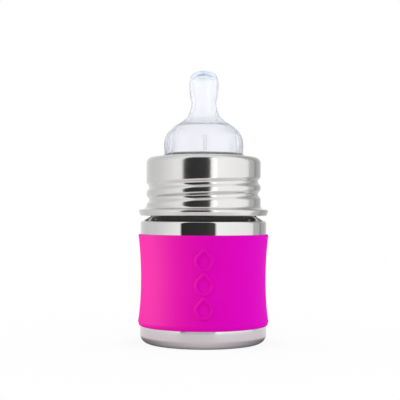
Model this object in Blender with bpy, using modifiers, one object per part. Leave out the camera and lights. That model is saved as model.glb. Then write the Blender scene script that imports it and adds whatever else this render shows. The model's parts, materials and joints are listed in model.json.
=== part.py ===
"""Infant feeding bottle: a stainless steel vessel with a silicone grip sleeve, a pressed steel screw
collar and a wide-neck silicone nipple.

Lengths below are millimetres and become metres through MM. The vessel stands on Z = 0 with its axis on
+Z. The front of the object faces -Y, so +X is on the viewer's right.
"""

import math

import bpy

MM = 0.001

# ---- driving dimensions (mm) ------------------------------------------------------------------------
SEGMENTS = 32          # flats round every turned piece
GAP = 0.3              # clearance between pieces that touch
SHEET = 0.6            # stainless steel sheet of the vessel and the collar

BODY_R = 31.0          # vessel outside radius at its top and bottom bands
WAIST_DEPTH = 1.6      # how far the vessel draws in behind the sleeve
WAIST_LOW_Z = 7.5
WAIST_HIGH_Z = 55.0
BASE_CORNER_R = 4.2
WALL_ROWS = 9          # rows of faces down the waisted wall
FOOT_R = 24.3          # inner edge of the flat foot ring
FOOT_STEP = 0.9        # run of the sloping step inside the foot ring
PANEL_Z = 1.3          # underside of the recessed bottom panel
PANEL_R = 22.8         # opening that the bottom panel fills
PANEL_DOME = 0.8       # rise of the bottom panel at its centre
PANEL_RISE = ((1.0, 0.0), (0.86, 0.35), (0.6, 0.75), (0.3, 0.95))   # (share of radius, share of dome)

SHOULDER_R = 1.2       # rounding where the wall meets the sloping shoulder
SHOULDER_Z = 58.7      # top of the upright wall
SHOULDER_TILT = 60     # slope of the shoulder's face from upright, degrees
NECK_R = 25.7          # neck outside radius between the thread turns
NECK_FILLET_R = 2.0
NECK_LOW_Z = 63.3
RIM_Z = 88.0           # top of the rolled rim
RIM_ROLL_R = 1.1
RIM_ROLL_END = 205     # where the roll ends, degrees round its own centre

LEAD = 6.2             # right-hand thread, rise in one turn
THREAD_Z = 73.1        # height of the collar's thread on the +X side
COLLAR_THREAD_DEPTH = 1.3
COLLAR_THREAD_HALF_WIDTH = 2.6
COLLAR_THREAD_TURNS = (-0.66, 1.22)
NECK_THREAD_DEPTH = 1.5
NECK_THREAD_HALF_WIDTH = 1.7
NECK_THREAD_TURNS = (-0.25, 1.34)
NECK_THREAD_OFFSET = 2.4   # the vessel's thread lies this far above the collar's
THREAD_FADE = 0.14         # turns over which each thread end dies out
NECK_THREAD_MARGIN = 1.5   # upright wall beyond the middle of each end turn
COLLAR_THREAD_MARGIN = 2.0
NECK_ROW = 0.95            # height of one row of faces on the threaded walls
COLLAR_ROW = 0.85

COLLAR_R = 28.2
COLLAR_TOP_Z = 91.2
COLLAR_CORNER_R = 2.9
COLLAR_HOLE_R = 19.5
COLLAR_LAND_R = 23.0   # the flat top is split here, between the hole and the corner
SKIRT_FILLET_R = 2.0
BEAD_TOP_R = 1.0       # the skirt's bead: a small roll, a face that leans in, then a lower roll
BEAD_TOP_CENTRE = (30.9, 64.5)
BEAD_LOW_R = 0.9
BEAD_LOW_CENTRE = (30.55, 63.2)
BEAD_LEAN = -15        # where the leaning face starts and ends on both rolls, degrees
BEAD_END = -110

SLEEVE_LOW_Z = 8.75
SLEEVE_HIGH_Z = 53.2
SLEEVE_WAIST_R = 30.75
SLEEVE_TOP_R = 32.1
SLEEVE_BOTTOM_R = 32.4
SLEEVE_ROWS = 10
SLEEVE_BEVEL = 0.35    # depth of the bevel on the upper lip
SLEEVE_LAND = 0.75     # start of the upper lip's flat face, outward from the vessel's wall
SLEEVE_FLANK_LOW_Z = 10.6
SLEEVE_LOWER_LIP = ((31.8, 9.1), (31.45, SLEEVE_LOW_Z))

NIPPLE_HEIGHT_Z = 134.1
NIPPLE_HOLE_R = 0.4
NIPPLE_LIP_R = 20.4
NIPPLE_LIP_HEIGHT = 0.4
NIPPLE_FLANGE_R = 26.4
NIPPLE_FLANGE_BEVEL = 0.5
NIPPLE_FLANGE_LOW_Z = RIM_Z + GAP
NIPPLE_CAVITY_R = 17.6
RIB_COUNT = 6
RIB_SIZE = (1.2, 1.3, 8.0)
RIB_OUT = 0.55         # how far a rib stands out of the dome's inner wall
RIB_Z = 97.5
RIB_FIRST_ANGLE = math.radians(-88)


# ---- profile helpers (radius, height) ---------------------------------------------------------------
def arc(centre, radius, start_deg, end_deg, steps):
    """Points on a circular arc, both ends included."""
    points = []
    for i in range(steps + 1):
        angle = math.radians(start_deg + (end_deg - start_deg) * i / steps)
        points.append((centre[0] + radius * math.cos(angle), centre[1] + radius * math.sin(angle)))
    return points


def smooth_curve(points, steps):
    """A Catmull-Rom curve through the points, with the given number of steps between neighbours."""
    padded = [points[0], *points, points[-1]]
    curve = []
    for a, b, c, d in zip(padded, padded[1:], padded[2:], padded[3:]):
        for i in range(steps):
            t = i / steps
            curve.append(tuple(
                0.5 * (2 * b[k] + (c[k] - a[k]) * t + (2 * a[k] - 5 * b[k] + 4 * c[k] - d[k]) * t**2
                       + (3 * b[k] - a[k] - 3 * c[k] + d[k]) * t**3)
                for k in range(2)))
    curve.append(points[-1])
    return curve


def level_rows(radius, high, low, spacing):
    """Evenly spaced points down a straight wall, without its upper end."""
    count = round((high - low) / spacing)
    return [(radius, high - (high - low) * (i + 1) / count) for i in range(count)]


def vessel_wall_radius(z):
    """Outside radius of the vessel's waisted wall at a height."""
    share = (z - WAIST_LOW_Z) / (WAIST_HIGH_Z - WAIST_LOW_Z)
    if not 0 < share < 1:
        return BODY_R
    return BODY_R - WAIST_DEPTH * math.sin(math.pi * share) ** 1.5


def sleeve_radius(z):
    """Outside radius of the grip sleeve: drawn in at mid height, full at both ends."""
    share = (z - SLEEVE_LOW_Z) / (SLEEVE_HIGH_Z - SLEEVE_LOW_Z)
    end_radius = SLEEVE_BOTTOM_R + (SLEEVE_TOP_R - SLEEVE_BOTTOM_R) * share
    return SLEEVE_WAIST_R + (end_radius - SLEEVE_WAIST_R) * abs(2 * share - 1) ** 2.2


# ---- mesh helpers -----------------------------------------------------------------------------------
def clear_scene():
    for old in list(bpy.data.objects):
        bpy.data.objects.remove(old)


def new_collection(name):
    collection = bpy.data.collections.new(name)
    bpy.context.scene.collection.children.link(collection)
    return collection


def make_material(name, colour, roughness, metallic):
    material = bpy.data.materials.new(name)
    material.use_nodes = True
    shader = material.node_tree.nodes["Principled BSDF"]
    shader.inputs["Base Color"].default_value = (*colour, 1.0)
    shader.inputs["Roughness"].default_value = roughness
    shader.inputs["Metallic"].default_value = metallic
    return material


def turned(name, profile, closed, material, collection):
    """An object turned from a profile about +Z. The profile runs down the outer side of the piece."""
    mesh = bpy.data.meshes.new(name)
    points = [(r * MM, 0, z * MM) for r, z in profile]
    edges = [(i, i + 1) for i in range(len(points) - 1)]
    if closed:
        edges.append((len(points) - 1, 0))
    mesh.from_pydata(points, edges, [])
    mesh.materials.append(material)
    piece = bpy.data.objects.new(name, mesh)
    collection.objects.link(piece)
    screw = piece.modifiers.new("turn", "SCREW")
    screw.steps = SEGMENTS
    screw.render_steps = SEGMENTS
    screw.use_merge_vertices = True
    screw.merge_threshold = 0.00001
    screw.use_smooth_shade = True
    return piece


def bake_turn(piece):
    """Replaces the piece's profile mesh with its turned mesh, so that its points can be moved."""
    graph = bpy.context.evaluated_depsgraph_get()
    baked = bpy.data.meshes.new_from_object(piece.evaluated_get(graph))
    baked.name = piece.name
    piece.modifiers.clear()
    piece.data = baked


def thicken_inward(piece, thickness):
    solidify = piece.modifiers.new("sheet", "SOLIDIFY")
    solidify.thickness = thickness * MM
    solidify.offset = -1
    solidify.use_even_offset = True
    solidify.use_quality_normals = True


def thread_share(x, y, z, mid_z, half_width, turns):
    """Share of the full thread depth at a point, for a right-hand helix that is at mid_z on the +X side."""
    first, last = turns
    angle_turns = math.atan2(y, x) / math.tau
    best = 0.0
    for whole in range(math.floor(first), math.ceil(last) + 1):
        turn = angle_turns + whole
        away = abs(z - mid_z - LEAD * turn)
        ends = min(turn - first, last - turn) / THREAD_FADE
        if away >= half_width or ends <= 0:
            continue
        fade = min(1.0, ends)
        best = max(best, math.cos(math.pi * away / (2 * half_width)) ** 2 * fade * fade * (3 - 2 * fade))
    return best


def press_thread(piece, depth, mid_z, half_width, turns, low_z, high_z):
    """Presses a helical thread into a turned wall. A positive depth bulges the wall outward."""
    for vertex in piece.data.vertices:
        x, y, z = (value / MM for value in vertex.co)
        if not low_z < z < high_z:
            continue
        radius = math.hypot(x, y)
        scale = 1 + depth * thread_share(x, y, z, mid_z, half_width, turns) / radius
        vertex.co.x *= scale
        vertex.co.y *= scale


# ---- pieces -----------------------------------------------------------------------------------------
def build_bottle_shell(material, collection):
    """The drawn vessel: rolled rim, threaded neck, shoulder, waisted wall and foot ring."""
    thread_mid = THREAD_Z + NECK_THREAD_OFFSET
    thread_high = thread_mid + LEAD * NECK_THREAD_TURNS[1] + NECK_THREAD_MARGIN
    thread_low = thread_mid + LEAD * NECK_THREAD_TURNS[0] - NECK_THREAD_MARGIN
    rim_centre = (NECK_R - RIM_ROLL_R, RIM_Z - RIM_ROLL_R)
    profile = arc(rim_centre, RIM_ROLL_R, RIM_ROLL_END, 0, 6)
    profile.append((NECK_R, thread_high))
    profile += level_rows(NECK_R, thread_high, thread_low, NECK_ROW)
    profile += arc((NECK_R + NECK_FILLET_R, NECK_LOW_Z), NECK_FILLET_R, 180, 180 + SHOULDER_TILT, 3)
    profile += arc((BODY_R - SHOULDER_R, SHOULDER_Z), SHOULDER_R, SHOULDER_TILT, 0, 3)
    profile.append((BODY_R, WAIST_HIGH_Z))
    for i in range(1, WALL_ROWS):
        z = WAIST_HIGH_Z + (WAIST_LOW_Z - WAIST_HIGH_Z) * i / WALL_ROWS
        profile.append((vessel_wall_radius(z), z))
    profile.append((BODY_R, WAIST_LOW_Z))
    profile += arc((BODY_R - BASE_CORNER_R, BASE_CORNER_R), BASE_CORNER_R, 0, -90, 5)
    profile.append((FOOT_R, 0.0))
    profile.append((FOOT_R - FOOT_STEP, PANEL_Z))
    profile.append((PANEL_R, PANEL_Z))
    shell = turned("bottle_shell", profile, False, material, collection)
    bake_turn(shell)
    press_thread(shell, NECK_THREAD_DEPTH, thread_mid, NECK_THREAD_HALF_WIDTH, NECK_THREAD_TURNS,
                 thread_low, thread_high)
    thicken_inward(shell, SHEET)
    return shell


def build_bottom_panel(material, collection):
    """The shallow domed disc welded into the foot ring."""
    edge_r = PANEL_R - GAP
    under = [(edge_r * share, PANEL_Z + PANEL_DOME * lift) for share, lift in PANEL_RISE]
    under.append((0.0, PANEL_Z + PANEL_DOME))
    top = [(r, z + SHEET) for r, z in reversed(under)]
    return turned("bottom_panel", top + under, False, material, collection)


def build_grip_sleeve(material, collection):
    """The stretched silicone sleeve, lying against the vessel's waist."""
    flank_high = SLEEVE_HIGH_Z - SLEEVE_BEVEL
    outer = [(vessel_wall_radius(SLEEVE_HIGH_Z) + SLEEVE_LAND, SLEEVE_HIGH_Z)]
    for i in range(SLEEVE_ROWS + 1):
        z = flank_high + (SLEEVE_FLANK_LOW_Z - flank_high) * i / SLEEVE_ROWS
        outer.append((sleeve_radius(z), z))
    outer += SLEEVE_LOWER_LIP
    inner = []
    for i in range(SLEEVE_ROWS + 1):
        z = SLEEVE_LOW_Z + (SLEEVE_HIGH_Z - SLEEVE_LOW_Z) * i / SLEEVE_ROWS
        inner.append((vessel_wall_radius(z) + GAP, z))
    return turned("grip_sleeve", outer + inner, True, material, collection)


def build_collar(material, collection):
    """The pressed steel screw collar: flat top with a hole, rolled thread and a beaded skirt."""
    thread_high = THREAD_Z + LEAD * COLLAR_THREAD_TURNS[1] + COLLAR_THREAD_MARGIN
    corner = (COLLAR_R - COLLAR_CORNER_R, COLLAR_TOP_Z - COLLAR_CORNER_R)
    fillet = (COLLAR_R + SKIRT_FILLET_R, BEAD_TOP_CENTRE[1] + BEAD_TOP_R + SKIRT_FILLET_R)
    thread_low = fillet[1]
    profile = [(COLLAR_HOLE_R, COLLAR_TOP_Z), (COLLAR_LAND_R, COLLAR_TOP_Z)]
    profile += arc(corner, COLLAR_CORNER_R, 90, 0, 4)
    profile.append((COLLAR_R, thread_high))
    profile += level_rows(COLLAR_R, thread_high, thread_low, COLLAR_ROW)
    profile += arc(fillet, SKIRT_FILLET_R, 180, 270, 4)[1:]
    profile += arc(BEAD_TOP_CENTRE, BEAD_TOP_R, 90, BEAD_LEAN, 4)
    profile += arc(BEAD_LOW_CENTRE, BEAD_LOW_R, BEAD_LEAN, BEAD_END, 3)
    collar = turned("screw_collar", profile, False, material, collection)
    bake_turn(collar)
    press_thread(collar, -COLLAR_THREAD_DEPTH, THREAD_Z, COLLAR_THREAD_HALF_WIDTH,
                 COLLAR_THREAD_TURNS, thread_low, thread_high)
    thicken_inward(collar, SHEET)
    return collar


def nipple_rib(angle):
    """One stiffening rib, which stands on the inside of the nipple's dome."""
    radial = NIPPLE_CAVITY_R + RIB_SIZE[0] / 2 - RIB_OUT
    bpy.ops.mesh.primitive_cube_add(
        size=1, location=(radial * MM * math.cos(angle), radial * MM * math.sin(angle), RIB_Z * MM))
    rib = bpy.context.object
    rib.name = "rib_guide"
    rib.scale = tuple(value * MM for value in RIB_SIZE)
    rib.rotation_euler = (0, 0, angle)
    return rib


def build_nipple(material, collection, helpers):
    """The moulded silicone nipple: teat, dome, retaining groove, flange, and the ribs inside it."""
    z_top = NIPPLE_HEIGHT_Z
    outside = smooth_curve([
        (NIPPLE_HOLE_R, z_top), (4.1, z_top - 0.6), (6.4, z_top - 2.6), (7.25, z_top - 6.8),
        (7.0, z_top - 11.2), (6.1, z_top - 16.8), (7.3, z_top - 21.2), (8.6, z_top - 23.4),
        (11.0, z_top - 25.4), (14.3, z_top - 27.4), (17.4, z_top - 30.4), (19.2, z_top - 33.6),
        (19.65, z_top - 37.0), (19.4, z_top - 41.0)], 2)
    groove_r = COLLAR_HOLE_R - GAP
    groove_high = COLLAR_TOP_Z + GAP
    groove_low = COLLAR_TOP_Z - SHEET - GAP
    seat = [
        (NIPPLE_LIP_R, groove_high + NIPPLE_LIP_HEIGHT), (NIPPLE_LIP_R, groove_high),
        (groove_r, groove_high), (groove_r, groove_low), (NIPPLE_FLANGE_R - NIPPLE_FLANGE_BEVEL, groove_low),
        (NIPPLE_FLANGE_R, groove_low - NIPPLE_FLANGE_BEVEL), (NIPPLE_FLANGE_R, NIPPLE_FLANGE_LOW_Z),
        (NIPPLE_CAVITY_R, NIPPLE_FLANGE_LOW_Z)]
    inside = smooth_curve([
        (NIPPLE_CAVITY_R - 0.1, z_top - 40.0), (17.5, z_top - 35.4), (15.6, z_top - 31.4),
        (11.0, z_top - 28.2), (6.4, z_top - 24.4), (5.1, z_top - 21.2), (4.6, z_top - 16.8),
        (5.5, z_top - 10.4), (5.4, z_top - 5.0), (NIPPLE_HOLE_R, z_top - 2.1)], 2)
    nipple = turned("nipple", outside + seat + inside, True, material, collection)
    bake_turn(nipple)
    for i in range(RIB_COUNT):
        rib = nipple_rib(RIB_FIRST_ANGLE + math.tau * i / RIB_COUNT)
        for owner in list(rib.users_collection):
            owner.objects.unlink(rib)
        helpers.objects.link(rib)
        rib.hide_render = True
        rib.display_type = "WIRE"
        join = nipple.modifiers.new("rib", "BOOLEAN")
        join.operation = "UNION"
        join.object = rib
    return nipple


def main():
    clear_scene()
    pieces = new_collection("infant_bottle")
    helpers = new_collection("helpers")
    polished = make_material("polished_steel", (0.62, 0.61, 0.60), 0.08, 1.0)
    brushed = make_material("brushed_steel", (0.60, 0.60, 0.59), 0.22, 1.0)
    sleeve = make_material("sleeve_silicone", (0.80, 0.0, 0.42), 0.45, 0.0)
    clear = make_material("nipple_silicone", (0.86, 0.90, 0.96), 0.20, 0.0)
    shell = build_bottle_shell(polished, pieces)
    panel = build_bottom_panel(polished, pieces)
    grip = build_grip_sleeve(sleeve, pieces)
    collar = build_collar(brushed, pieces)
    nipple = build_nipple(clear, pieces, helpers)
    vessel = bpy.data.objects.new("vessel", None)
    lift = bpy.data.objects.new("nipple_lift", None)
    turn = bpy.data.objects.new("collar_turn", None)
    for empty in (vessel, lift, turn):
        pieces.objects.link(empty)
    lift.parent = vessel
    turn.parent = lift
    for piece in (shell, panel, grip):
        piece.parent = vessel
    nipple.parent = lift
    collar.parent = turn


main()
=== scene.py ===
"""Looks of the infant feeding bottle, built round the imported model.

Lengths are millimetres and become metres through MM. Each visible piece is turned here at a much finer step
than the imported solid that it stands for, with the same sizes, so it moves and fits as that solid does.
The front of the bottle faces -Y and its axis is +Z.
"""
import json
import math

import bmesh
import bpy
import numpy as np
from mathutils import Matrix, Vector


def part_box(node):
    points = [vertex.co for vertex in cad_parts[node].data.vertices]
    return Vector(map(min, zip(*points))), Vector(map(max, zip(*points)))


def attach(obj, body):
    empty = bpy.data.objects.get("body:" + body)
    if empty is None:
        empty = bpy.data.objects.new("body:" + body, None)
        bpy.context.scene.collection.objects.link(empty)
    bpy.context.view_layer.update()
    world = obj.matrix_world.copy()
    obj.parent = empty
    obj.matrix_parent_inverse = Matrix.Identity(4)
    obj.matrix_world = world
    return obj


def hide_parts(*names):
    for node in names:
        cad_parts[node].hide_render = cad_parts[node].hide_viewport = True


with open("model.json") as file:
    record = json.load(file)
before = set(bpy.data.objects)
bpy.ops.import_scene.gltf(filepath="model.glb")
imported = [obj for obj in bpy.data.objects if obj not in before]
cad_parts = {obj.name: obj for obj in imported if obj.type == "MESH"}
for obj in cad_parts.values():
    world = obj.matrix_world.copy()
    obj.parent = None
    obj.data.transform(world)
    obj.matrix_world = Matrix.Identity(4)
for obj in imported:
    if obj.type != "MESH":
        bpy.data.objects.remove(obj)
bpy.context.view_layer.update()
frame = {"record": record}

MM = 0.001


def reach(node):
    """(largest radius, lowest height, highest height) of a CAD node, in millimetres."""
    low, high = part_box(node)
    return round(high.x / MM, 2), round(low.z / MM, 2), round(high.z / MM, 2)


# ---- sizes taken from the frame (mm) ----------------------------------------------------------------
BODY_R, _, RIM_Z = reach("bottle_shell")
PANEL_R, PANEL_Z, _ = reach("bottom_panel")
_, SLEEVE_LOW_Z, SLEEVE_HIGH_Z = reach("grip_sleeve")
_, _, COLLAR_TOP_Z = reach("screw_collar")
FLANGE_R, FLANGE_LOW_Z, NIPPLE_TOP_Z = reach("nipple")
LEAD = frame["record"]["behaviour"]["couplings"][0]["ratio"] * math.tau / MM

# ---- sizes of the fine shape (mm) -------------------------------------------------------------------
FINE_TURN = 288        # flats round a steel piece
SHEET = 0.6
GAP = 0.3              # clearance where pieces touch on the real bottle
WAIST_DEPTH = 1.6
WAIST_LOW_Z = 7.5
WAIST_HIGH_Z = 55.0
WALL_ROWS = 40
BASE_CORNER_R = 4.2
FOOT_R = 24.3
FOOT_LIP_R = 0.4
PANEL_LIP_R = 0.3
PANEL_RISE = (         # (radius, height above the panel's edge)
    (0.0, 0.75), (5.0, 0.72), (10.0, 0.62), (14.2, 0.45), (15.0, 0.30), (15.8, 0.10), (21.0, 0.0))
WELD_R = 0.32
WELD_SCALES = 140      # overlapping scales round the weld bead
WELD_RIPPLE = 0.03
SHOULDER_R = 1.2
SHOULDER_Z = 58.7
SHOULDER_TILT = 60
NECK_R = 25.7
NECK_FILLET_R = 2.0
NECK_LOW_Z = 63.3
RIM_ROLL_R = 1.1
RIM_ROLL_END = 205     # where the roll ends, degrees round its own centre

THREAD_Z = 73.1
THREAD_FADE = 0.14     # turns over which each thread end dies out
THREAD_MARGIN = 1.9    # finely divided wall beyond the middle of the neck's end turns
NECK_THREAD = {"depth": 1.5, "mid_z": THREAD_Z + 2.4, "half_width": 1.7, "turns": (-0.25, 1.34)}
COLLAR_THREAD = {"depth": -1.3, "mid_z": THREAD_Z, "half_width": 2.6, "turns": (-0.66, 1.22)}

COLLAR_R = 28.2
COLLAR_CORNER_R = 2.9
COLLAR_HOLE_R = 19.5
SKIRT_FILLET_R = 2.0
BEAD_TOP_R = 1.0       # the skirt's bead: a small roll, a face that leans in, then a lower roll
BEAD_TOP_CENTRE = (30.9, 64.5)
BEAD_LOW_R = 0.9
BEAD_LOW_CENTRE = (30.55, 63.2)
BEAD_LEAN = -15
BEAD_END = -110

SLEEVE_WAIST_R = 30.75
SLEEVE_TOP_R = 32.1
SLEEVE_BOTTOM_R = 32.4
SLEEVE_LIP_R = 0.3
SLEEVE_ROWS = 210
SLEEVE_FLANK_HIGH_Z = SLEEVE_HIGH_Z - 0.5
SLEEVE_FLANK_LOW_Z = 11.5
SLEEVE_LOWER_LIP = ((32.12, 10.9), (32.0, 10.1), (31.76, 9.3), (31.45, SLEEVE_LOW_Z))

NIPPLE_HOLE_R = 0.4
NIPPLE_LIP_R = 20.4
NIPPLE_CAVITY_R = 17.6
RIB_COUNT = 6
RIB_FIRST_ANGLE = math.radians(-88)
RIB_HALF_WIDTH = 0.65
RIB_DEPTH = 0.55
RIB_LOW_Z = 93.5
RIB_HIGH_Z = 101.5
RIB_SIDE = 0.25        # run of a rib's sloping sides
RIB_END = 0.8          # run of its sloping ends
RIB_REACH = 2.6        # the wall carries ribs this far inside the cavity's radius

DROP_COUNT = 3
DROP_PITCH = 11.2
DROP_ANGLE = math.radians(-89.4)
DROP_MIDDLE_Z = 29.8   # centre of the middle drop's round end
DROP_BIG_R = 3.8
DROP_TIP_R = 0.4
DROP_LENGTH = 5.0
DROP_STROKE = 0.5
DROP_EDGE = 0.3
DROP_HEIGHT = 0.6
DROP_SPREAD = math.radians(8.5)   # half the angle in which the sleeve is divided finely for the drops

# ---- outlines: lists of (radius, height) ------------------------------------------------------------
def arc(centre, radius, start_deg, end_deg, steps):
    """Points on a circular arc, both ends included."""
    angles = np.radians(np.linspace(start_deg, end_deg, steps + 1))
    return [(centre[0] + radius * math.cos(a), centre[1] + radius * math.sin(a)) for a in angles]


def smooth_curve(points, steps):
    """A Catmull-Rom curve through the points."""
    padded = np.array([points[0], *points, points[-1]], float)
    curve = []
    for a, b, c, d in zip(padded, padded[1:], padded[2:], padded[3:]):
        for t in np.arange(steps) / steps:
            curve.append(tuple(0.5 * (2 * b + (c - a) * t + (2 * a - 5 * b + 4 * c - d) * t**2
                                      + (3 * b - a - 3 * c + d) * t**3)))
    return [*curve, tuple(points[-1])]


def divided(outline, longest):
    """The outline with its long straight runs cut into stretches no longer than a length."""
    points = [outline[0]]
    for start, end in zip(outline, outline[1:]):
        count = max(1, math.ceil(math.dist(start, end) / longest))
        for i in range(1, count + 1):
            share = i / count
            points.append(tuple(a + (b - a) * share for a, b in zip(start, end)))
    return points


def sheet_outline(outer, thickness):
    """A closed outline: the outer side, then the inner side of sheet metal back to the start."""
    points = np.array(outer, float)
    along = np.gradient(points, axis=0)
    along /= np.linalg.norm(along, axis=1)[:, None]
    inward = np.column_stack([along[:, 1], -along[:, 0]])
    return [*outer, *map(tuple, (points + inward * thickness)[::-1])]


def vessel_wall_radius(z):
    """Outside radius of the vessel's waisted wall at a height."""
    share = (z - WAIST_LOW_Z) / (WAIST_HIGH_Z - WAIST_LOW_Z)
    if not 0 < share < 1:
        return BODY_R
    return BODY_R - WAIST_DEPTH * math.sin(math.pi * share) ** 1.5


def sleeve_radius(z):
    """Outside radius of the grip sleeve: drawn in at mid height, full at both ends."""
    share = (z - SLEEVE_LOW_Z) / (SLEEVE_HIGH_Z - SLEEVE_LOW_Z)
    end_radius = SLEEVE_BOTTOM_R + (SLEEVE_TOP_R - SLEEVE_BOTTOM_R) * share
    return SLEEVE_WAIST_R + (end_radius - SLEEVE_WAIST_R) * abs(2 * share - 1) ** 2.2


# ---- meshes -----------------------------------------------------------------------------------------
def even_angles(count):
    return np.arange(count) * math.tau / count


def detailed_angles(count, centres, half_width, extra):
    """Even angles round the axis, with extra ones within half_width of each centre."""
    sets = [even_angles(count)]
    for centre in centres:
        sets.append(np.linspace(centre - half_width, centre + half_width, extra) % math.tau)
    angles = np.sort(np.concatenate(sets))
    keep = np.append(np.diff(angles) > math.radians(0.05), True)
    return angles[keep]


def turned(name, outline, angles, shape=None, sharp_deg=35):
    """A mesh object turned about +Z from a closed outline. shape(radius, angle, z) gives new radii."""
    ring, turn = len(outline), len(angles)
    radius, z = np.array(outline, float).T
    radius = np.tile(radius, (turn, 1))
    z = np.tile(z, (turn, 1))
    angle = np.tile(np.array(angles)[:, None], (1, ring))
    if shape:
        radius = shape(radius, angle, z)
    points = np.stack([radius * np.cos(angle), radius * np.sin(angle), z], axis=-1) * MM
    row = np.arange(turn)[:, None] * ring
    after = np.roll(np.arange(turn), -1)[:, None] * ring
    down = np.arange(ring)[None]
    below = np.roll(np.arange(ring), -1)[None]
    faces = np.stack([row + down, row + below, after + below, after + down], axis=-1)
    mesh = bpy.data.meshes.new(name)
    mesh.from_pydata(points.reshape(-1, 3), [], faces.reshape(-1, 4).tolist())
    work = bmesh.new()
    work.from_mesh(mesh)
    bmesh.ops.remove_doubles(work, verts=work.verts, dist=1e-7)
    work.to_mesh(mesh)
    work.free()
    mesh.shade_smooth()
    mesh.set_sharp_from_angle(angle=math.radians(sharp_deg))
    piece = bpy.data.objects.new(name, mesh)
    bpy.context.scene.collection.objects.link(piece)
    return piece


def thread_share(angle, z, mid_z, half_width, turns):
    """Share of a right-hand thread's full depth at each point; the thread is at mid_z on the +X side."""
    first, last = turns
    angle_turns = (angle + math.pi) % math.tau / math.tau - 0.5
    best = np.zeros_like(z)
    for whole in range(math.floor(first), math.ceil(last) + 1):
        turn = angle_turns + whole
        away = np.clip(np.abs(z - mid_z - LEAD * turn) / half_width, 0, 1)
        fade = np.clip(np.minimum(turn - first, last - turn) / THREAD_FADE, 0, 1)
        best = np.maximum(best, np.cos(math.pi / 2 * away) ** 2 * fade * fade * (3 - 2 * fade))
    return best


def threaded(thread, low_z, high_z):
    """A shape that presses a thread into the wall between two heights."""
    def shape(radius, angle, z):
        share = thread_share(angle, z, thread["mid_z"], thread["half_width"], thread["turns"])
        return radius + np.where((z > low_z) & (z < high_z), thread["depth"] * share, 0)
    return shape


def finish_piece(piece, material, body, slot, *nodes):
    piece.data.materials.append(material)
    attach(piece, body)
    if nodes:
        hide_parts(*nodes)
    return piece


# ---- pieces -----------------------------------------------------------------------------------------
def build_vessel(material):
    """The drawn steel vessel, from its rolled rim down to the foot ring."""
    thread_high = NECK_THREAD["mid_z"] + LEAD * NECK_THREAD["turns"][1] + THREAD_MARGIN
    thread_low = NECK_THREAD["mid_z"] + LEAD * NECK_THREAD["turns"][0] - THREAD_MARGIN
    outer = arc((NECK_R - RIM_ROLL_R, RIM_Z - RIM_ROLL_R), RIM_ROLL_R, RIM_ROLL_END, 0, 22)
    outer += divided([(NECK_R, thread_high), (NECK_R, thread_low)], 0.25)
    outer += arc((NECK_R + NECK_FILLET_R, NECK_LOW_Z), NECK_FILLET_R, 180, 180 + SHOULDER_TILT, 12)
    shoulder = arc((BODY_R - SHOULDER_R, SHOULDER_Z), SHOULDER_R, SHOULDER_TILT, 0, 12)
    outer += divided([outer[-1], shoulder[0]], 0.4)[1:-1] + shoulder
    outer += divided([outer[-1], (BODY_R, WAIST_HIGH_Z)], 0.4)[1:]
    outer += [(vessel_wall_radius(z), z) for z in np.linspace(WAIST_HIGH_Z, WAIST_LOW_Z, WALL_ROWS)[1:]]
    outer += divided([outer[-1], (BODY_R, BASE_CORNER_R + 0.3)], 0.5)[1:]
    outer += arc((BODY_R - BASE_CORNER_R, BASE_CORNER_R), BASE_CORNER_R, 0, -90, 20)
    outer += [(FOOT_R + FOOT_LIP_R, 0.0)]
    outer += arc((FOOT_R, FOOT_LIP_R), FOOT_LIP_R, -90, -150, 4)
    outer += arc((PANEL_R + GAP + 0.25, PANEL_Z - PANEL_LIP_R), PANEL_LIP_R, 30, 90, 4)
    outer += [(PANEL_R + GAP, PANEL_Z)]
    piece = turned("vessel_wall", sheet_outline(outer, SHEET), even_angles(FINE_TURN),
                   threaded(NECK_THREAD, thread_low, thread_high))
    return finish_piece(piece, material, "vessel", "vessel_steel", "bottle_shell")


def build_base(material):
    """The pressed bottom panel, with a stiffening step, and the weld that holds it in the foot ring."""
    under = [(r, PANEL_Z + lift) for r, lift in smooth_curve(PANEL_RISE, 6)] + [(PANEL_R, PANEL_Z)]
    top = [(r, z + SHEET) for r, z in under]
    panel = turned("vessel_base", top + under[::-1], even_angles(160))
    finish_piece(panel, material, "vessel", "vessel_steel", "bottom_panel")

    def ripple(radius, angle, z):
        """The overlapping scales of a weld bead."""
        return radius + WELD_RIPPLE * np.abs(np.sin(angle * WELD_SCALES / 2))

    bead = arc((PANEL_R + GAP / 2, PANEL_Z + 0.1), WELD_R, 200, -160, 12)[:-1]
    weld = turned("base_weld", bead, even_angles(4 * WELD_SCALES), ripple)
    return finish_piece(weld, material, "vessel", "vessel_steel")


def drop_outline_distance(x, y):
    """Signed distance from the outline of a drop: a big round end at the origin, a point above it."""
    x = np.abs(x)
    lean = (DROP_BIG_R - DROP_TIP_R) / DROP_LENGTH
    side = math.sqrt(1 - lean**2)
    along = side * y - lean * x
    round_end = np.hypot(x, y) - DROP_BIG_R
    point_end = np.hypot(x, y - DROP_LENGTH) - DROP_TIP_R
    flank = side * x + lean * y - DROP_BIG_R
    return np.where(along < 0, round_end, np.where(along > side * DROP_LENGTH, point_end, flank))


def raised_drops(radius, angle, z):
    """Lifts the outlines of a column of drops out of the sleeve's front."""
    across = ((angle - DROP_ANGLE + math.pi) % math.tau - math.pi) * radius
    lift = np.zeros_like(radius)
    for i in range(DROP_COUNT):
        centre = DROP_MIDDLE_Z + ((DROP_COUNT - 1) / 2 - i) * DROP_PITCH
        distance = np.abs(drop_outline_distance(across, z - centre))
        edge = np.clip((DROP_STROKE + DROP_EDGE - distance) / DROP_EDGE, 0, 1)
        lift = np.maximum(lift, edge * edge * (3 - 2 * edge))
    outside = radius > SLEEVE_WAIST_R - 0.2
    return radius + np.where(outside, DROP_HEIGHT * lift, 0)


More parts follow.
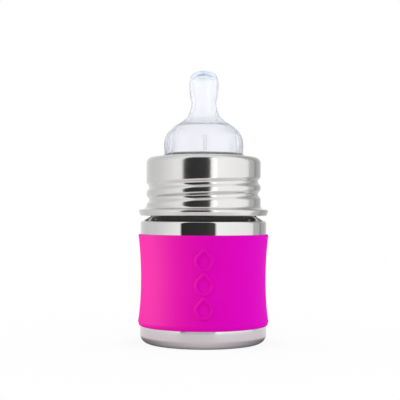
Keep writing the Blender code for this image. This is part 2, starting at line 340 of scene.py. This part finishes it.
def build_sleeve(material):
    """The stretched silicone sleeve, with soft lips and a column of raised drops on its front."""
    lip_inner_r = vessel_wall_radius(SLEEVE_HIGH_Z) + GAP + 0.2
    outer = divided([(lip_inner_r, SLEEVE_HIGH_Z), (SLEEVE_TOP_R - 0.62, SLEEVE_HIGH_Z)], 0.2)
    outer += arc((SLEEVE_TOP_R - 0.45, SLEEVE_HIGH_Z - SLEEVE_LIP_R), SLEEVE_LIP_R, 90, 10, 6)
    heights = np.linspace(SLEEVE_FLANK_HIGH_Z, SLEEVE_FLANK_LOW_Z, SLEEVE_ROWS)
    outer += [(sleeve_radius(z), z) for z in heights]
    outer += smooth_curve(SLEEVE_LOWER_LIP, 4)
    inner = [(vessel_wall_radius(z) + GAP, z) for z in np.linspace(SLEEVE_LOW_Z, SLEEVE_HIGH_Z, 40)]
    angles = detailed_angles(176, [DROP_ANGLE], DROP_SPREAD, 90)
    piece = turned("silicone_sleeve", outer + inner, angles, raised_drops, sharp_deg=60)
    return finish_piece(piece, material, "vessel", "sleeve_silicone", "grip_sleeve")


def build_collar(material):
    """The pressed steel collar: flat top with a hole, rolled thread and a beaded skirt."""
    corner = (COLLAR_R - COLLAR_CORNER_R, COLLAR_TOP_Z - COLLAR_CORNER_R)
    fillet = (COLLAR_R + SKIRT_FILLET_R, BEAD_TOP_CENTRE[1] + BEAD_TOP_R + SKIRT_FILLET_R)
    outer = divided([(COLLAR_HOLE_R, COLLAR_TOP_Z), (corner[0], COLLAR_TOP_Z)], 0.5)[:-1]
    outer += arc(corner, COLLAR_CORNER_R, 90, 0, 20)
    outer += divided([outer[-1], (COLLAR_R, fillet[1])], 0.2)[1:-1]
    outer += arc(fillet, SKIRT_FILLET_R, 180, 270, 16)
    outer += arc(BEAD_TOP_CENTRE, BEAD_TOP_R, 90, BEAD_LEAN, 16)
    low_roll = arc(BEAD_LOW_CENTRE, BEAD_LOW_R, BEAD_LEAN, BEAD_END, 14)
    outer += divided([outer[-1], low_roll[0]], 0.2)[1:-1] + low_roll
    piece = turned("steel_collar", sheet_outline(outer, SHEET), even_angles(FINE_TURN),
                   threaded(COLLAR_THREAD, fillet[1], COLLAR_TOP_Z - COLLAR_CORNER_R))
    return finish_piece(piece, material, "collar", "collar_steel", "screw_collar")


def ribbed(radius, angle, z):
    """Pulls narrow upright ribs inwards out of the nipple's inner wall."""
    pitch = math.tau / RIB_COUNT
    across = ((angle - RIB_FIRST_ANGLE + pitch / 2) % pitch - pitch / 2) * radius
    wide = np.clip((RIB_HALF_WIDTH - np.abs(across)) / RIB_SIDE, 0, 1)
    tall = np.clip(np.minimum(z - RIB_LOW_Z, RIB_HIGH_Z - z) / RIB_END, 0, 1)
    inside = (radius < NIPPLE_CAVITY_R + 0.05) & (radius > NIPPLE_CAVITY_R - RIB_REACH)
    return radius - np.where(inside, RIB_DEPTH * wide * tall, 0)


def build_nipple(material):
    """The moulded nipple: teat, dome, groove and flange outside, and ribs inside."""
    top = NIPPLE_TOP_Z
    outside = smooth_curve([
        (NIPPLE_HOLE_R, top), (4.1, top - 0.6), (6.4, top - 2.6), (7.25, top - 6.8),
        (7.0, top - 11.2), (6.1, top - 16.8), (7.3, top - 21.2), (8.6, top - 23.4),
        (11.0, top - 25.4), (14.3, top - 27.4), (17.4, top - 30.4), (19.2, top - 33.6),
        (19.65, top - 37.0), (19.4, top - 41.0)], 8)
    groove_r = COLLAR_HOLE_R - GAP
    groove_high = COLLAR_TOP_Z + GAP
    groove_low = COLLAR_TOP_Z - SHEET - GAP
    seat = smooth_curve([(19.5, groove_high + 1.1), (20.0, groove_high + 0.62), (20.32, groove_high + 0.36),
                         (NIPPLE_LIP_R, groove_high + 0.15), (20.3, groove_high)], 4)
    seat += divided([(groove_r, groove_high), (groove_r, groove_low)], 0.3)
    seat += arc((FLANGE_R - 0.5, groove_low - 0.5), 0.5, 90, 0, 6)
    seat += [(FLANGE_R, FLANGE_LOW_Z), (NIPPLE_CAVITY_R, FLANGE_LOW_Z)]
    inside = smooth_curve([
        (NIPPLE_CAVITY_R, FLANGE_LOW_Z + 1.0), (NIPPLE_CAVITY_R, top - 40.0), (17.6, top - 36.6),
        (17.2, top - 34.2), (16.0, top - 31.8), (13.2, top - 28.9), (9.95, top - 27.0),
        (7.2, top - 24.6), (5.5, top - 21.8), (4.3, top - 16.8), (5.15, top - 11.0),
        (5.35, top - 6.9), (4.7, top - 4.4), (2.6, top - 3.1), (NIPPLE_HOLE_R, top - 2.7)], 10)
    ribs = [RIB_FIRST_ANGLE + math.tau * i / RIB_COUNT for i in range(RIB_COUNT)]
    angles = detailed_angles(144, ribs, math.radians(3), 15)
    piece = turned("silicone_nipple", outside + seat + inside, angles, ribbed, sharp_deg=50)
    return finish_piece(piece, material, "nipple_seat", "nipple_silicone", "nipple")


# ---- materials --------------------------------------------------------------------------------------
def grey(value):
    return (value, value, value, 1)


class Nodes:
    """Short calls for building a node tree. A socket's value is a number or another node's output."""

    def __init__(self, tree):
        self.tree = tree

    def fill(self, socket, value):
        if isinstance(value, bpy.types.NodeSocket):
            self.tree.links.new(value, socket)
        else:
            socket.default_value = value

    def add(self, kind, values=None, **settings):
        node = self.tree.nodes.new(kind)
        for key, value in settings.items():
            setattr(node, key, value)
        for socket, value in (values or {}).items():
            self.fill(node.inputs[socket], value)
        return node

    def math(self, operation, first, second=0.0, third=0.0):
        return self.add("ShaderNodeMath", {0: first, 1: second, 2: third}, operation=operation).outputs[0]

    def spread(self, value, low, high, to_low, to_high, smooth=False):
        """Maps a value from one range to another, clamped."""
        kind = "SMOOTHSTEP" if smooth else "LINEAR"
        values = {"Value": value, "From Min": low, "From Max": high, "To Min": to_low, "To Max": to_high}
        return self.add("ShaderNodeMapRange", values, interpolation_type=kind).outputs["Result"]

    def mix(self, share, first, second):
        """A colour between two colours."""
        node = self.add("ShaderNodeMix", data_type="RGBA")
        sockets = {socket.name: socket for socket in node.inputs if socket.enabled}
        for name, value in (("Factor", share), ("A", first), ("B", second)):
            self.fill(sockets[name], value)
        return next(socket for socket in node.outputs if socket.enabled)

    def mix_shader(self, share, first, second):
        return self.add("ShaderNodeMixShader", {0: share, 1: first, 2: second}).outputs[0]


class Surface(Nodes):
    """A material with one Principled shader. Its input values are given by name, with _ for a space."""

    def __init__(self, name, **inputs):
        self.material = bpy.data.materials.new(name)
        self.material.use_nodes = True
        super().__init__(self.material.node_tree)
        self.shader = self.tree.nodes["Principled BSDF"]
        self.output = self.tree.nodes["Material Output"]
        for socket, value in inputs.items():
            self.shader.inputs[socket.replace("_", " ")].default_value = value

    def link(self, output, socket):
        self.tree.links.new(output, self.shader.inputs[socket])

    def place(self):
        """Object coordinates, in metres."""
        return self.add("ShaderNodeTexCoord").outputs["Object"]

    def height(self):
        """The height above the floor, in metres."""
        return self.add("ShaderNodeSeparateXYZ", {0: self.place()}).outputs["Z"]

    def noise(self, scale, detail=3.0, stretch=(1, 1, 1), roughness=0.5):
        mapping = self.add("ShaderNodeMapping", {"Vector": self.place(), "Scale": stretch})
        values = {"Vector": mapping.outputs["Vector"], "Scale": scale, "Detail": detail,
                  "Roughness": roughness}
        return self.add("ShaderNodeTexNoise", values).outputs["Fac"]

    def bump(self, value, strength, distance):
        """Roughens the surface with a height; the distance is in millimetres."""
        values = {"Height": value, "Strength": strength, "Distance": distance * MM}
        self.link(self.add("ShaderNodeBump", values).outputs["Normal"], "Normal")


STEEL_COLOUR = (0.66, 0.655, 0.65)


def steel(name, roughness, grain_depth):
    """Stainless steel with fine turning lines, faint smudges and a few scratches."""
    surface = Surface(name, Metallic=1.0)
    lines = surface.noise(1.0, detail=4.0, stretch=(90, 90, 4200), roughness=0.6)
    smudge = surface.noise(70.0, detail=3.0)
    scratch = surface.noise(1.0, detail=2.0, stretch=(2600, 2600, 120), roughness=0.4)
    fine = surface.spread(lines, 0.3, 0.7, -0.25, 0.25)
    marks = surface.spread(scratch, 0.68, 0.74, 0.0, 0.12)
    smear = surface.spread(smudge, 0.45, 0.72, 0.0, 0.2, smooth=True)
    total = surface.math("ADD", surface.math("ADD", fine, marks), smear)
    surface.link(surface.math("MULTIPLY_ADD", total, roughness, roughness), "Roughness")
    shade = surface.spread(smudge, 0.3, 0.7, 0.0, 1.0)
    darker = tuple(value * 0.95 for value in STEEL_COLOUR)
    surface.link(surface.mix(shade, (*darker, 1), (*STEEL_COLOUR, 1)), "Base Color")
    surface.bump(lines, 0.25, grain_depth)
    return surface


BAND_TOP_Z = 7.8       # the satin band fades out above this height
PAINTED_GLOW_LOW_Z = 59.8     # the painted glow that lifts the shade under the collar starts here


def vessel_steel():
    """Mirror-bright above the sleeve, satin on the band below it, and a faint painted glow that lifts the
    neck's shade.
    """
    surface = steel("vessel_steel", 0.035, 0.002)
    polished = surface.shader.inputs["Roughness"].links[0].from_socket
    height = surface.height()
    low_band = surface.spread(height, BAND_TOP_Z * MM, (BAND_TOP_Z + 1) * MM, 0.13, 0.0, smooth=True)
    surface.link(surface.math("ADD", polished, low_band), "Roughness")
    # painted glow: a faint white emission on the neck, above this height, lifts the shade under the collar
    surface.shader.inputs["Emission Color"].default_value = grey(1)
    lift = surface.spread(height, PAINTED_GLOW_LOW_Z * MM, (PAINTED_GLOW_LOW_Z + 0.8) * MM, 0.0, 0.014, smooth=True)
    surface.link(lift, "Emission Strength")
    return surface.material


def collar_steel():
    """Satin steel with slightly deeper turning lines."""
    return steel("collar_steel", 0.145, 0.004).material


def sleeve_silicone():
    """Matt magenta silicone with a fine mould grain."""
    surface = Surface("sleeve_silicone", Specular_IOR_Level=0.025, Subsurface_Weight=0.08,
                      Subsurface_Radius=(0.004, 0.001, 0.003), Subsurface_Scale=1.0)
    cloud = surface.noise(55.0, detail=4.0)
    grain = surface.noise(2600.0, detail=3.0, roughness=0.7)
    tone = surface.mix(cloud, (0.66, 0.0008, 0.385, 1), (0.71, 0.0012, 0.415, 1))
    surface.link(tone, "Base Color")
    dust = surface.spread(grain, 0.35, 0.7, 0.52, 0.68)
    surface.link(dust, "Roughness")
    surface.bump(grain, 0.22, 0.05)
    return surface.material


def nipple_silicone():
    """Clear silicone with a milky haze and a bluish absorbing body, with painted shade: a darker, cooler
    colour where its wall is seen edge on and in its thick tip.
    """
    surface = Surface("nipple_silicone", Transmission_Weight=0.9, IOR=1.41, Specular_IOR_Level=0.5)
    haze = surface.noise(120.0, detail=3.0)
    surface.link(surface.spread(haze, 0.3, 0.7, 0.2, 0.24), "Roughness")
    clear = surface.mix(haze, (0.975, 0.98, 0.99, 1), (0.99, 0.992, 1.0, 1))
    # painted shade: the colour turns darker and cooler where the wall is seen edge on
    turned_away = surface.add("ShaderNodeLayerWeight", {"Blend": 0.5}).outputs["Facing"]
    edge = surface.spread(turned_away, 0.45, 0.95, 0.0, 1.0, smooth=True)
    painted_rim_shade = surface.mix(edge, clear, (0.70, 0.745, 0.86, 1))
    # painted shade: the thick tip gets a darker blue-grey colour
    tip_low, tip_high = ((NIPPLE_TOP_Z - depth) * MM for depth in (4.6, 1.6))
    painted_tip_shade = surface.spread(surface.height(), tip_low, tip_high, 0.0, 1.0, smooth=True)
    surface.link(surface.mix(painted_tip_shade, painted_rim_shade, (0.74, 0.82, 0.91, 1)), "Base Color")
    grain = surface.noise(900.0, detail=2.0)
    surface.bump(grain, 0.02, 0.01)
    body = surface.add("ShaderNodeVolumeAbsorption", {"Color": (0.66, 0.75, 0.92, 1), "Density": 24.0})
    surface.fill(surface.output.inputs["Volume"], body.outputs["Volume"])
    return surface.material


# ---- studio: lengths from here on are metres ----------------------------------------------------------
# What glossy pieces see round the horizon: (degrees from the front towards +X, brightness).
STUDIO_WALL = (
    (-180, 0.95), (-130, 0.80), (-95, 0.88), (-65, 1.08), (-43, 1.22), (-40, 0.035), (5, 0.045),
    (20, 0.085), (24, 1.32), (90, 1.22), (100, 1.12), (103, 0.66), (123, 0.60), (125, 0.10),
    (127, 0.48), (150, 0.60), (180, 0.95))
WALL_TOP_DEG = (46, 87)          # the wall fades into the light overhead between these two heights
OVERHEAD = 1.1
THROUGH_CLEAR = (1.2, 1.2, 1.23, 1)
ON_MATT = grey(0.98)


def build_world():
    """A white room to the camera, soft white light on matt surfaces, and softboxes in reflections."""
    world = bpy.data.worlds.new("studio")
    bpy.context.scene.world = world
    world.use_nodes = True
    world.node_tree.nodes.clear()
    nodes = Nodes(world.node_tree)
    direction = nodes.add("ShaderNodeTexCoord").outputs["Generated"]
    parts = nodes.add("ShaderNodeSeparateXYZ", {0: direction}).outputs
    azimuth = nodes.math("ARCTAN2", parts["X"], nodes.math("MULTIPLY", parts["Y"], -1.0))
    ramp = nodes.add("ShaderNodeValToRGB", {"Fac": nodes.math("MULTIPLY_ADD", azimuth, 1 / math.tau, 0.5)})
    stops = ramp.color_ramp.elements
    while len(stops) < len(STUDIO_WALL):
        stops.new(1.0)
    for stop, (degrees, brightness) in zip(stops, STUDIO_WALL):
        stop.position = degrees / 360 + 0.5
        stop.color = grey(brightness)
    low, high = (math.radians(degrees) for degrees in WALL_TOP_DEG)
    above = nodes.spread(nodes.math("ARCSINE", parts["Z"]), low, high, 0.0, 1.0, smooth=True)
    path = nodes.add("ShaderNodeLightPath").outputs
    seen = nodes.mix(above, ramp.outputs["Color"], grey(OVERHEAD))
    seen = nodes.mix(path["Is Transmission Ray"], seen, THROUGH_CLEAR)
    seen = nodes.mix(path["Is Diffuse Ray"], seen, ON_MATT)
    seen = nodes.mix(path["Is Camera Ray"], seen, grey(1.0))
    background = nodes.add("ShaderNodeBackground", {"Color": seen, "Strength": 1.0})
    output = nodes.add("ShaderNodeOutputWorld")
    nodes.fill(output.inputs["Surface"], background.outputs[0])


FLOOR_R = 1.3
FLOOR_Z = -0.0001                # just below the foot ring
FLOOR_GLOW = 0.93                # share of plain white in what the camera sees
TABLE_R = 0.125                  # mirrors see the floor out to here
FLOOR_PAINTED_SHADE = (0.031, 0.046)     # painted shade on the floor at the base's sides fades out between these two distances
FLOOR_PAINTED_SHADE_DEPTH = 0.75


def build_floor():
    """A pale round table top with painted shade at the base's sides. The camera sees it nearly white, and
    mirrors see only its near part.
    """
    bpy.ops.mesh.primitive_circle_add(vertices=128, radius=FLOOR_R, fill_type="NGON",
                                      location=(0, 0, FLOOR_Z))
    floor = bpy.context.object
    floor.name = "floor"
    surface = Surface("floor", Roughness=0.6, Specular_IOR_Level=0.0)
    pale = surface.mix(surface.noise(3.0, detail=2.0), grey(0.95), grey(0.97))
    place = surface.place()
    across = surface.add("ShaderNodeSeparateXYZ", {0: place}).outputs["X"]
    distance = surface.add("ShaderNodeVectorMath", {0: place}, operation="LENGTH").outputs["Value"]
    sideways = surface.math("ABSOLUTE", surface.math("DIVIDE", across, distance))
    # painted shadow: the floor's colour darkens at the base's sides, standing in for the contact shadow
    # there
    near = surface.spread(distance, *FLOOR_PAINTED_SHADE, FLOOR_PAINTED_SHADE_DEPTH, 0.0, smooth=True)
    shade = surface.math("MULTIPLY", surface.math("POWER", sideways, 2.0), near)
    surface.link(surface.mix(shade, pale, grey(0.05)), "Base Color")
    matt = surface.shader.outputs["BSDF"]
    glow = surface.add("ShaderNodeEmission", {"Color": grey(1), "Strength": 1.0}).outputs[0]
    path = surface.add("ShaderNodeLightPath").outputs
    seen = surface.mix_shader(path["Is Camera Ray"], matt, surface.mix_shader(FLOOR_GLOW, matt, glow))
    far = surface.math("GREATER_THAN", distance, TABLE_R)
    reflected = surface.math("MAXIMUM", path["Is Glossy Ray"], path["Is Shadow Ray"])
    clear = surface.add("ShaderNodeBsdfTransparent").outputs[0]
    top = surface.mix_shader(surface.math("MULTIPLY", far, reflected), seen, clear)
    surface.fill(surface.output.inputs["Surface"], top)
    floor.data.materials.append(surface.material)


def area_light(name, place, aim, power, receiver):
    """A light that faces its aim and reaches one piece only. The camera doesn't see it."""
    data = bpy.data.lights.new(name, "AREA")
    data.energy = power
    light = bpy.data.objects.new(name, data)
    bpy.context.scene.collection.objects.link(light)
    light.location = place
    light.rotation_euler = (Vector(aim) - light.location).to_track_quat("-Z", "Y").to_euler()
    light.visible_camera = False
    light.visible_transmission = False
    receivers = bpy.data.collections.new(name + "_receivers")
    receivers.objects.link(receiver)
    light.light_linking.receiver_collection = receivers
    return light


def build_card(name, place, aim, size, brightness, receiver):
    """A flat white card that shows only in one steel piece's reflections."""
    width, height = size
    card = area_light(name, place, aim, brightness * math.pi * width * height, receiver)
    card.data.shape = "RECTANGLE"
    card.data.size = width
    card.data.size_y = height


LIGHT_AIM = (0, 0, 0.035)        # near the middle of the sleeve


def build_light(name, place, width, power, colour, receiver, glossy):
    """A soft round light on one piece. Where glossy is False, reflections leave it out."""
    light = area_light(name, place, LIGHT_AIM, power, receiver)
    light.data.shape = "DISK"
    light.data.size = width
    light.data.color = colour
    light.visible_glossy = glossy


STRIP_CARD_ANGLE = math.radians(18.7)    # from the front towards +X
STRIP_CARD_DISTANCE = 0.45
STRIP_CARD_Z = 0.08
TABLE_CARD_X = -0.02
TABLE_CARD_Y = -0.215
TABLE_CARD_Z = -0.001

CAMERA_DISTANCE = 0.480
CAMERA_HEIGHT = 0.064
CAMERA_SIDE = -0.00173
CAMERA_LENS = 87.35
CAMERA_PITCH = math.radians(0.732)
CAMERA_ROLL = math.radians(-0.18)


def build_camera():
    data = bpy.data.cameras.new("camera")
    data.sensor_width = 36
    data.lens = CAMERA_LENS
    data.clip_start = 0.01
    camera = bpy.data.objects.new("camera", data)
    bpy.context.scene.collection.objects.link(camera)
    camera.location = (CAMERA_SIDE, -CAMERA_DISTANCE, CAMERA_HEIGHT)
    camera.rotation_euler = (math.pi / 2 + CAMERA_PITCH, CAMERA_ROLL, 0)
    bpy.context.scene.camera = camera


bpy.context.scene.view_settings.view_transform = "Standard"
build_camera()
build_world()
build_floor()
vessel_material = vessel_steel()
vessel = build_vessel(vessel_material)
build_base(vessel_material)
sleeve = build_sleeve(sleeve_silicone())
collar = build_collar(collar_steel())
build_nipple(nipple_silicone())
strip_x = STRIP_CARD_DISTANCE * math.sin(STRIP_CARD_ANGLE)
strip_y = -STRIP_CARD_DISTANCE * math.cos(STRIP_CARD_ANGLE)
build_card("strip_card", place=(strip_x, strip_y, STRIP_CARD_Z), aim=(0, 0, STRIP_CARD_Z),
           size=(0.085, 0.9), brightness=1.3, receiver=collar)
build_card("table_card", place=(TABLE_CARD_X, TABLE_CARD_Y, TABLE_CARD_Z),
           aim=(TABLE_CARD_X, TABLE_CARD_Y, 1), size=(0.19, 0.19), brightness=0.75, receiver=vessel)
build_light("green_left", place=(-0.44, -0.02, 0.12), width=0.5, power=14.0, colour=(0.096, 0.95, 0.03),
            receiver=sleeve, glossy=True)
build_light("blue_right", place=(0.42, -0.18, 0.12), width=0.3, power=0.9, colour=(0.35, 0.5, 1.0),
            receiver=sleeve, glossy=False)
